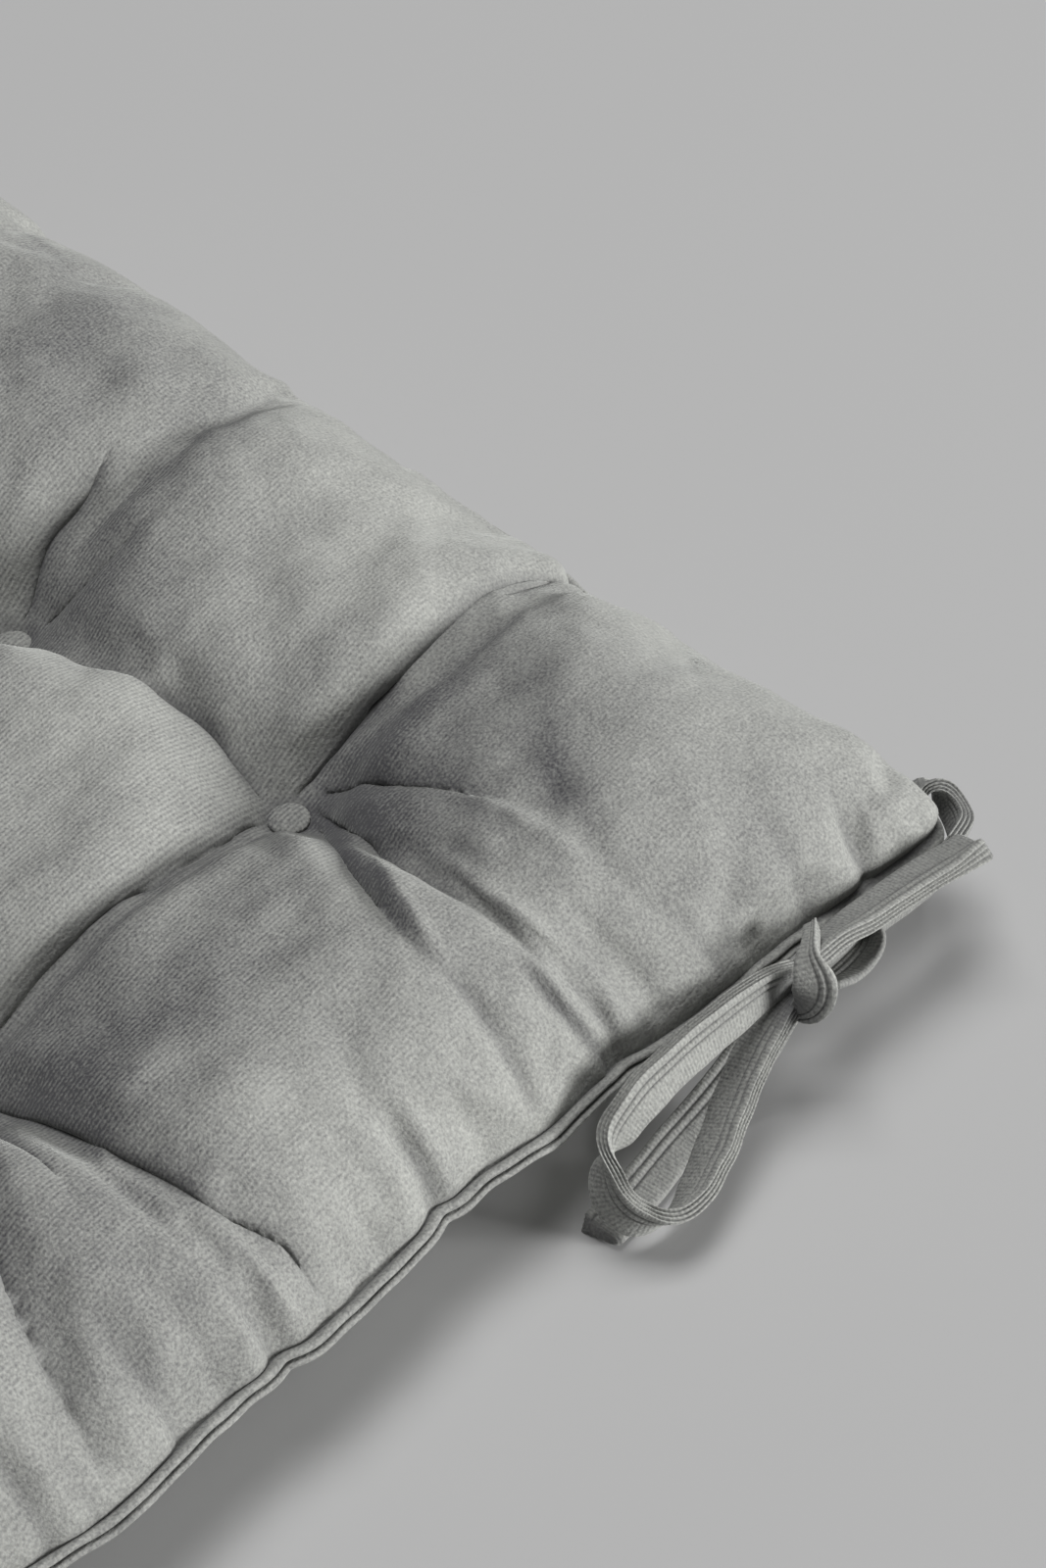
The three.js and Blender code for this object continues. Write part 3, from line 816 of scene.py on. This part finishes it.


# paints each slope lighter or darker by the way it faces, partly as the pile's nap and partly as painted light and
# shade
def keepNapAndSlopeShade(piece, strength=1.0, strokedAndShaded=False, lift=0.0):
    normals = getNormals(piece.data)
    facing = normals @ (napAndSlopeShade["x"], napAndSlopeShade["y"], 0)
    slope = np.where(facing < 0, napAndSlopeShade["darkSlope"], napAndSlopeShade["lightSlope"])
    tone = napAndSlopeShade["level"] + lift + slope * strength * facing
    if strokedAndShaded:
        flat = inMillimetres(getPoints(piece.data))
        for x, y, long, short, turn, amount in napStrokesAndPaintedShade:
            a, b = turned(flat[:, 0] - x, flat[:, 1] - y, turn)
            a, b = a / long, b / short
            edge = napAndSlopeShade["strokeEdge"] * np.sin(5 * a + 3 * b)
            tone += amount * bell(np.hypot(a, b) + edge) * (flat[:, 2] > cushion["seamHeight"])
    keepValues(piece.data, "napAndSlopeShade", np.clip(tone, 0, 1))


def makeCushion():
    top = clothGrid("filled_cushion", cushion["cells"], True)
    bottom = clothGrid("underside", cushion["cells"] // 3, False)
    piece = joinAll([top, bottom])
    setMode("EDIT")
    selectRim()
    bpy.ops.mesh.bridge_edge_loops()
    setMode("OBJECT")
    fillWithCloth(piece)
    roundOff(piece)
    foldCloth(piece)
    shadeSmooth(piece)
    print("cushion:", len(piece.data.polygons), "faces")
    return piece


# the sewn lip round the seam, outwards from the seam and up: the edges of both cloths,
# stitched together, with a split between them
lipRing = [
    (-2.4, 0.8), (-0.4, 1), (0.9, 1.5), (2.2, 2.1), (3.4, 1.95), (4.1, 1.3), (3.9, 0.55), (3.2, 0.2), (2.2, 0.06),
    (2.2, -0.1), (3.2, -0.2), (4.2, -0.5), (4.6, -1.1), (4.1, -1.75), (3, -1.95), (1.4, -1.5), (-0.4, -1),
    (-2.4, -0.8),
]


def seamRoute(count):
    t = np.linspace(0, 4, count, endpoint=False)
    leg, s = np.floor(t).astype(int), (t - np.floor(t)) * 2 - 1
    u = half * np.select([leg == 0, leg == 1, leg == 2], [s, 1, -s], -1)
    v = half * np.select([leg == 0, leg == 1, leg == 2], [-1, s, 1], -s)
    return np.stack(plan(u, v), 1)


# a grid rolled into a closed ring or tube: table[step, side] gives its points
def rolledGrid(name, table, ring, shades):
    steps, sides = table.shape[:2]
    cells = steps if ring else steps - 1
    piece = added(bpy.ops.mesh.primitive_grid_add, name, x_subdivisions=cells, y_subdivisions=sides, size=1)
    flat = getPoints(piece.data)
    k = np.rint((flat[:, 0] + 0.5) * cells).astype(int) % steps
    side = np.rint((flat[:, 1] + 0.5) * sides).astype(int) % sides
    setPoints(piece.data, table[k, side])
    keepValues(piece.data, "paintedShade", np.broadcast_to(shades, (steps, sides))[k, side])
    length = lengths(np.diff(table[:, 0], axis=0)).sum()
    girth = lengths(np.roll(table[0], -1, 0) - table[0]).sum()
    for loop in piece.data.uv_layers[0].data:
        loop.uv = (loop.uv[0] * length, loop.uv[1] * girth)
    setMode("EDIT")
    bpy.ops.mesh.select_mode(type="VERT")
    selectFaces()
    bpy.ops.mesh.remove_doubles(threshold=1e-6)
    if not ring:
        selectRim("VERT")
        bpy.ops.mesh.fill_holes(sides=0)
    selectFaces()
    bpy.ops.mesh.normals_make_consistent(inside=False)
    setMode("OBJECT")
    return piece


def makeLip():
    route = seamRoute(lip["steps"])
    along = unit(np.roll(route, -1, 0) - np.roll(route, 1, 0))
    out = np.stack([along[:, 1], -along[:, 0]], 1)
    place = np.arange(len(route)) / len(route) * 2 * math.pi
    draw = np.random.default_rng(lip["seed"])

    def waves(sizes, counts):
        return sum(draw.uniform(*lip[sizes]) * np.sin(place * n + draw.uniform(0, 6.3)) for n in lip[counts])
    wave, ruffle = waves("wave", "waves"), waves("ruffle", "ruffles")
    table = np.zeros((len(route), len(lipRing), 3))
    atTie = rising(np.abs(route[:, 0]), *lip["tiesFrom"]) * rising(route[:, 1], *lip["backFrom"])
    tilt = np.radians(lip["tilt"] + (lip["tieTilt"] - lip["tilt"]) * atTie)
    for k, (across, through) in enumerate(lipRing):
        outwards = across * np.cos(tilt) - through * np.sin(tilt)
        up = across * np.sin(tilt) + through * np.cos(tilt)
        reach = max(across, 0) / lip["width"]
        table[:, k, :2] = route + out * (outwards + ruffle * reach)[:, None]
        table[:, k, 2] = cushion["seamHeight"] + up + wave * reach
    # painted shade in the split between the two cloths and in the groove beside the seam
    low, high = lip["split"]
    shades = [lip["splitShade"] if low < through < high else
              lip["seamShade"] if across < lip["seamWidth"] else 0.0 for across, through in lipRing]
    piece = rolledGrid("sewn_lip", inFrame(table), True, shades)
    roundOff(piece)
    keepNapAndSlopeShade(piece, napAndSlopeShade["lip"])
    shadeSmooth(piece)
    print("lip:", len(piece.data.polygons), "faces")
    return piece


# the covered buttons: a dome over a belly, with the cloth pleated under it
button = {
    "radius": 5.5, "height": 3.8, "gap": 0.3, "segments": 88, "rings": 28, "roundness": 0.82,
    "belly": 0.62, "dome": 0.38, "pleats": 22, "pleatDepth": 0.022, "pleatsBelow": 0.45, "pleatFade": 0.6,
    "shade": 0.5,
}


def makeButtons():
    first = added(bpy.ops.mesh.primitive_uv_sphere_add, "covered_button",
                  segments=button["segments"], ring_count=button["rings"], radius=1)
    points = getPoints(first.data)
    turn = np.arctan2(points[:, 1], points[:, 0])
    low = smooth((button["pleatsBelow"] - points[:, 2]) / button["pleatFade"])
    pleat = 1 + button["pleatDepth"] * low * np.sin(turn * button["pleats"] + 0.7 * np.sin(3 * turn))
    wide = np.hypot(points[:, 0], points[:, 1]) ** button["roundness"] * button["radius"] * pleat
    z = button["belly"] + points[:, 2] * np.where(points[:, 2] > 0, button["dome"], button["belly"])
    shaped = np.stack([np.cos(turn) * wide, np.sin(turn) * wide, z * button["height"]], 1)
    setPoints(first.data, shaped)
    made = []
    for column, row, _, _ in buttonGrid:
        x, y = buttonPlace(column, row)
        piece = first.copy()
        piece.data = first.data.copy()
        bpy.context.scene.collection.objects.link(piece)
        piece.name = f"covered_button_{column + 2}_{row + 2}"
        spun = np.stack([*turned(shaped[:, 0], shaped[:, 1], -0.7 * column - 1.9 * row), shaped[:, 2]], 1)
        setPoints(piece.data, inFrame(spun + (x, y, cushion["seat"] + button["gap"])))
        shadeSmooth(piece)
        keepNapAndSlopeShade(piece, napAndSlopeShade["button"])
        # painted shade on the lower, pleated part under the dome
        keepValues(piece.data, "paintedShade", low * button["shade"])
        made.append((piece, f"button_{column + 2}_{row + 2}"))
    bpy.data.objects.remove(first)
    print("buttons:", len(made))
    return made


# the ties: a folded strap, topstitched along its open edge, knotted in a bow
strap = {
    "width": 11.5, "step": 2.2, "splayReach": 16, "splayFrom": 3, "endStep": 1.4, "endSlope": 1.6, "endShade": 0.8,
    "layers": 4, "layerStep": 1.1, "layerHalf": 0.24, "layerAt": (4.8, 5.75, 6.0),   # at the open edge
    "ripple": 0.12, "rippleLength": (9, 26), "rippleWidth": 6, "rippleCount": 4,
    "grooves": (1.3, 3.5, 4.8), "grooveDepth": 1.5, "faceTo": 1, "mostShade": 1.15,
    # the knot's values paint shade in the hollow beside it
    "knot": (-152.4, 239.3, 31.9), "knotReach": 7.0, "knotShade": 1.25,   # the hollow beside the knot
}
# from the folded edge to the stitches beside the open edge: across, and through
strapFace = [
    (-5.75, 0), (-5.45, 0.7), (-4.4, 1), (-2, 1.1), (0.2, 1.2), (0.9, 1.35), (1.3, 0.75), (1.7, 1.5),
    (2.5, 1.75), (3.1, 1.7), (3.5, 1.05), (3.9, 1.9), (4.8, 2.1), (5.5, 1.9),
]


def strapRing():
    edge, step, thick = [], strap["layerStep"], strap["layerHalf"]
    inner, side, outer = strap["layerAt"]
    for layer in range(strap["layers"]):
        middle = ((strap["layers"] - 1) / 2 - layer) * step
        edge += [(side, middle + thick), (outer, middle), (side, middle - thick), (inner, middle - step / 2)]
    edge.pop()
    return strapFace + edge + [(across, -through) for across, through in reversed(strapFace[1:])]


# each run's stations: x, y, z, lean of its width outwards from upright, share of the width, and
# swing to the left; the last two are left out where they are 1 and 0
# a run's shade is painted shade over the whole strap where it lies in shadow; faceShade paints shade on the face
# towards the folded edge
tieRuns = {
    "lead": {"shade": 0.42, "stations": [
        (-220, 212, 21, 42), (-226.8, 212.2, 26.2, 44, 0.9), (-230.4, 213, 30.2, 56, 0.8),
        (-232.1, 215.4, 30.2, 80, 0.8), (-232, 219.6, 27, 82, 0.8), (-230, 224.7, 25, 46, 0.85),
        (-225, 229.5, 25, 10), (-214, 232.6, 25.5, 0), (-190, 232.6, 25.5, 0), (-170, 233.5, 28, 0, 0.9),
        (-161, 234.5, 31, 0, 0.8)]},
    "farLoop": {"stations": [
        (-161, 236, 32.5, -5, 0.7), (-152, 233.8, 33.5, -12, 0.85), (-140, 233.7, 34.2, -17), (-118, 234.2, 34, -24),
        (-103, 235, 31.5, -24, 1, 5), (-92.5, 236, 25, 2, 1, 20), (-88.5, 240.5, 16.5, 16, 1, 20),
        (-91.5, 247, 10.5, 24, 1, 18), (-100, 251, 10, 46, 1, 8), (-115, 247, 13, 70), (-131, 240.5, 18.5, 75),
        (-143, 237, 24, 80, 0.95), (-152, 236.5, 28, 72, 0.85), (-161, 238, 31, 45, 0.7)]},
    "farTail": {"open": -1, "cut": 0.2, "shade": 0.32, "stations": [
        (-162, 237, 29, 60, 0.7), (-155, 233.8, 22.5, 112, 0.85), (-149, 232.5, 16, 118), (-142, 232, 10.5, 118),
        (-132, 232.5, 6.5, 108), (-115, 234, 3.5, 96), (-100, 236.5, 2.4, 90), (-87, 238, 2, 90)]},
    "nearTail": {"cut": 0.8, "faceShade": 0.38, "stations": [
        (-161, 236.5, 36, 45, 0.7), (-170, 235, 36.5, 62, 0.85), (-179, 234.5, 35.2, 70), (-191, 234.4, 34, 76),
        (-203, 235, 33.4, 78), (-214, 236.2, 33, 78, 1, -6), (-222, 237, 33, 74, 1, -10)]},
    "nearLoop": {"open": -1, "shade": 0.45, "stations": [
        (-161, 236, 30, 20, 0.75), (-172, 234.6, 28.5, 35, 0.8), (-181, 233.2, 27.5, 40, 0.8),
        (-187, 234, 26.5, 50, 0.75), (-184, 237, 25, 62, 0.7), (-174, 239, 24.5, 65, 0.75),
        (-164, 239.5, 27, 45, 0.7)]},
    "wrap": {"wide": (-0.75, 0.62, 0.27), "wideEnd": (0.04, 0.99, -0.34), "turnFrom": 0.55, "stations": [
        (-168.7, 230.2, 39.3, 0, 0.34), (-162.1, 235.7, 42.1, 0, 0.36), (-157.7, 238.7, 42, 0, 0.56),
        (-156.2, 241.4, 40.7, 0, 0.76), (-155.3, 243.5, 38.2, 0, 0.95), (-154.4, 243.8, 35.1, 0, 0.93),
        (-153.5, 243.3, 32.3, 0, 0.78), (-152.9, 241.6, 30.3, 0, 0.55), (-154, 238.6, 27.6, 0, 0.3)]},
}


def centripetal(points, step):
    points = np.asarray(points, float)
    ends = np.vstack([2 * points[0] - points[1], points, 2 * points[-1] - points[-2]])
    made = []
    for k in range(1, len(ends) - 2):
        p = ends[k - 1:k + 3]
        knots = np.concatenate([[0], np.cumsum(np.sqrt(lengths(np.diff(p[:, :3], axis=0))) + 1e-9)])
        t = np.linspace(knots[1], knots[2], 24, endpoint=False)[:, None]

        def between(a, b, i, j):
            return a * (knots[j] - t) / (knots[j] - knots[i]) + b * (t - knots[i]) / (knots[j] - knots[i])
        a, b, c = between(p[0], p[1], 0, 1), between(p[1], p[2], 1, 2), between(p[2], p[3], 2, 3)
        made.append(between(between(a, b, 0, 2), between(b, c, 1, 3), 1, 2))
    dense = np.vstack(made + [points[-1:]])
    length = np.concatenate([[0], np.cumsum(lengths(np.diff(dense[:, :3], axis=0)))])
    places = np.linspace(0, length[-1], max(5, int(round(length[-1] / step)) + 1))
    return np.stack([np.interp(places, length, dense[:, c]) for c in range(dense.shape[1])], 1), length[-1]


def strapRun(name, run):
    route, length = centripetal([(*row, *(1, 0)[len(row) - 4:]) for row in run["stations"]], strap["step"])
    centre, lean, wide, swing = route[:, :3], np.radians(route[:, 3]), route[:, 4], np.radians(route[:, 5])
    tangent = unit(np.gradient(centre, axis=0))
    if "wide" in run:
        late = rising(np.linspace(0, 1, len(centre)), run["turnFrom"], 1 - run["turnFrom"])[:, None]
        width = run["wide"] * (1 - late) + run["wideEnd"] * late
    else:
        width = np.stack([-np.sin(swing), np.sin(lean), np.cos(lean)], 1)
    width = unit(without(width, tangent))
    through = np.cross(tangent, width)
    draw = np.random.default_rng(len(name))
    place = np.arange(len(centre)) * strap["step"]
    ripple = sum(strap["ripple"] * np.sin(place * 2 * math.pi / draw.uniform(*strap["rippleLength"])
                                          + draw.uniform(0, 6.3)) for _ in range(strap["rippleCount"]))
    ring, facing = strapRing(), run.get("open", 1)
    table = np.zeros((len(centre), len(ring), 3))
    for k, (across, depth) in enumerate(ring):
        table[:, k] = (centre + width * (across * facing * wide)[:, None]
                       + through * (depth + ripple * across / strap["rippleWidth"])[:, None])
        if run.get("cut"):
            splay = smooth(1 - (length - place) / strap["splayReach"]) * (across > strap["splayFrom"]) * run["cut"]
            table[:, k] += through * (splay * depth)[:, None]
            table[-1, k] += tangent[-1] * strap["endStep"] * (depth / strap["endSlope"]) * facing
    # painted shade in the grooves between the layers and at the stitches, and on the face towards the folded edge
    # where a run sets faceShade
    shades = [1.0 if across in strap["grooves"] and abs(depth) < strap["grooveDepth"]
              else run.get("faceShade", 0) * (across < strap["faceTo"]) for across, depth in ring]
    # painted shade in the hollow beside the knot, and over a whole run that lies in shadow
    besideKnot = strap["knotShade"] * bell(np.linalg.norm(table - strap["knot"], axis=2) / strap["knotReach"])
    besideKnot = np.clip(np.maximum(run.get("shade", 0), besideKnot), 0, strap["mostShade"])
    shades = np.maximum(np.array(shades)[None], besideKnot)
    # painted shade on the cut end
    if run.get("cut"):
        shades[-1] = strap["endShade"]
    return rolledGrid(name, inFrame(table), False, shades), length


def makeTie(name, mirror):
    parts, total = [], 0
    for run in tieRuns:
        part, length = strapRun(f"{name}_{run}", tieRuns[run])
        parts.append(part)
        total += length
    tie = joinAll(parts)
    tie.name = name
    roundOff(tie)
    if mirror:
        setPoints(tie.data, getPoints(tie.data) * (-1, 1, 1))
        setMode("EDIT")
        selectFaces()
        bpy.ops.mesh.flip_normals()
        setMode("OBJECT")
    keepNapAndSlopeShade(tie, napAndSlopeShade["tie"], lift=napAndSlopeShade["tieLift"])
    shadeSmooth(tie)
    print(name, "is", round(total), "mm of strap,", len(tie.data.polygons), "faces")
    return tie, total * mm


makeCamera()
cushionVelvet, tieVelvet = velvetFinish("cushion_velvet"), velvetFinish("tie_velvet", straps=True)
filledCushion = makeCushion()
filledCushion.data.materials.append(cushionVelvet)
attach(filledCushion, "root")
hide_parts("cushion")

sewnLip = makeLip()
sewnLip.data.materials.append(cushionVelvet)
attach(sewnLip, "root")
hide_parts("cushion")

for piece, node in makeButtons():
    piece.data.materials.clear()
    piece.data.materials.append(cushionVelvet)
    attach(piece, "root")
    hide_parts(node)

for name, node, mirror in (("bow_tie_left", "tie_left", False), ("bow_tie_right", "tie_right", True)):
    tie, total = makeTie(name, mirror)
    tie.data.materials.append(tieVelvet)
    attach(tie, "root")
    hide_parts(node)


# the floor and two square lamps: name, place and size in metres, power
studio = {
    "floor": 8, "floorColour": (0.5, 0.5, 0.5, 1), "floorRoughness": 0.95,
    "world": {"Color": (1, 1, 1, 1), "Strength": 0.09},
    "lamps": [("over_side", (-0.6, -0.68, 3.85), 2.3, 102), ("near_side", (-1.75, 3.0, 0.85), 0.9, 104)],
}


def makeStage():
    floor = added(bpy.ops.mesh.primitive_plane_add, "floor", size=studio["floor"])
    floor.data.materials.append(Finish("floor_paint").surface(
        {"Base Color": studio["floorColour"], "Roughness": studio["floorRoughness"]}))
    world = bpy.data.worlds.new("studio")
    world.use_nodes = True
    for name, value in studio["world"].items():
        world.node_tree.nodes["Background"].inputs[name].default_value = value
    bpy.context.scene.world = world
    bpy.context.scene.view_settings.view_transform = "Standard"
    for name, place, size, power in studio["lamps"]:
        lamp = added(bpy.ops.object.light_add, name, type="AREA", location=place)
        lamp.data.size, lamp.data.energy = size, power
        lamp.rotation_euler = (-Vector(place)).to_track_quat("-Z", "Y").to_euler()
    print("floor and lamps set up")


makeStage()
